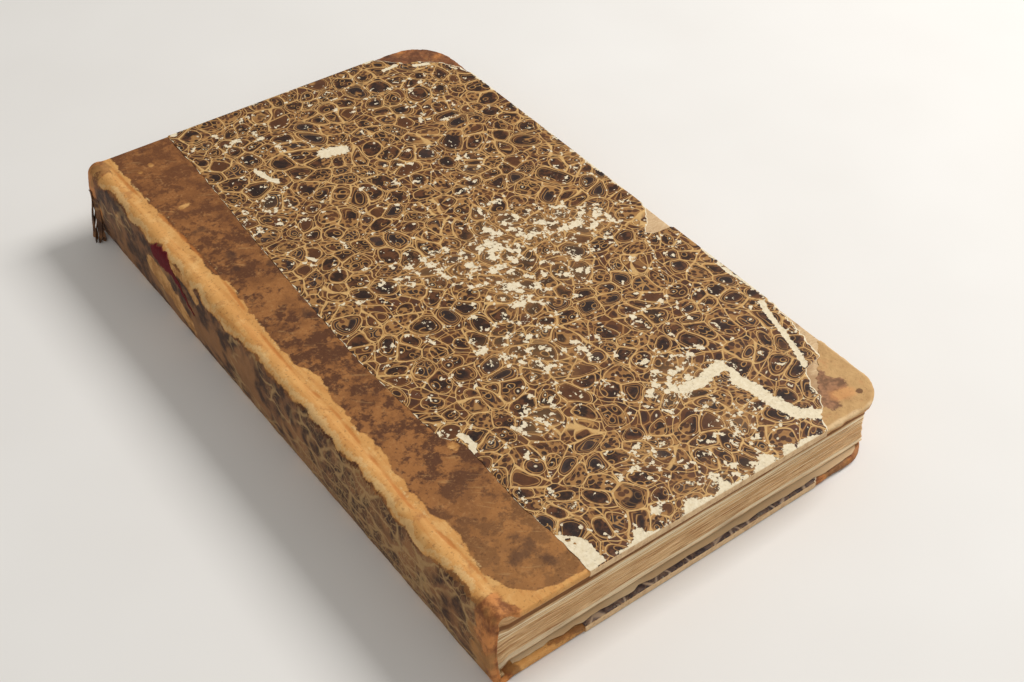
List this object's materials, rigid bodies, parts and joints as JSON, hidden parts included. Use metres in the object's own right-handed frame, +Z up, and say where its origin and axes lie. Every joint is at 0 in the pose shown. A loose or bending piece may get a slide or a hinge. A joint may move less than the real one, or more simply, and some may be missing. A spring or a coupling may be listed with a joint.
{
  "type": "half-leather bound book",
  "caption": "Antique octavo book in worn half leather and marbled paper, with hinged boards, a rounded spine and plain edges.",
  "frame": {"origin": "on the resting plane, under the middle of the closed book's box", "axes": "+X from the spine to the fore edge, +Y from the tail to the head, +Z up through the front board"},
  "size_m": [0.129, 0.2178, 0.0263],
  "materials": {
    "pages": "aged rag paper, brown at the edges",
    "lining": "glued lining paper",
    "hemp": "twisted hemp cord",
    "endband": "faded cloth rolled over a cord",
    "spine_leather": "dark brown calf, cracked, worn tan along the joints",
    "side_leather": "brown calf, rubbed and stained",
    "corner_leather": "brown calf, rubbed to tan",
    "label_leather": "dark red skiver, torn",
    "marbled_paper": "shell marbling in browns, rubbed to the white",
    "pasteboard": "greyish tan pasteboard",
    "endpaper": "plain aged endpaper"
  },
  "bodies": {
    "text_block": {"text_block": "pages", "spine_lining": "lining", "sewing_cords": "hemp", "head_endband": "endband", "tail_endband": "endband", "spine_leather": "spine_leather", "spine_label": "label_leather"},
    "front_cover": {"front_board": "pasteboard", "front_leather": "side_leather", "front_marbled_paper": "marbled_paper", "front_tail_corner": "corner_leather", "front_head_corner": "corner_leather", "front_pastedown": "endpaper", "front_cord_slips": "hemp"},
    "back_cover": {"back_board": "pasteboard", "back_leather": "side_leather", "back_marbled_paper": "marbled_paper", "back_tail_corner": "corner_leather", "back_head_corner": "corner_leather", "back_pastedown": "endpaper", "back_cord_slips": "hemp"}
  },
  "joints": [
    {"name": "front_joint", "type": "hinge", "parent": "text_block", "child": "front_cover", "pos_m": [-0.0578, 0, 0.0264], "axis": [0, -1, 0], "range_deg": [0, 180]},
    {"name": "back_joint", "type": "hinge", "parent": "text_block", "child": "back_cover", "pos_m": [-0.0578, 0, -0.0001], "axis": [0, 1, 0], "range_deg": [0, 180]}
  ]
}
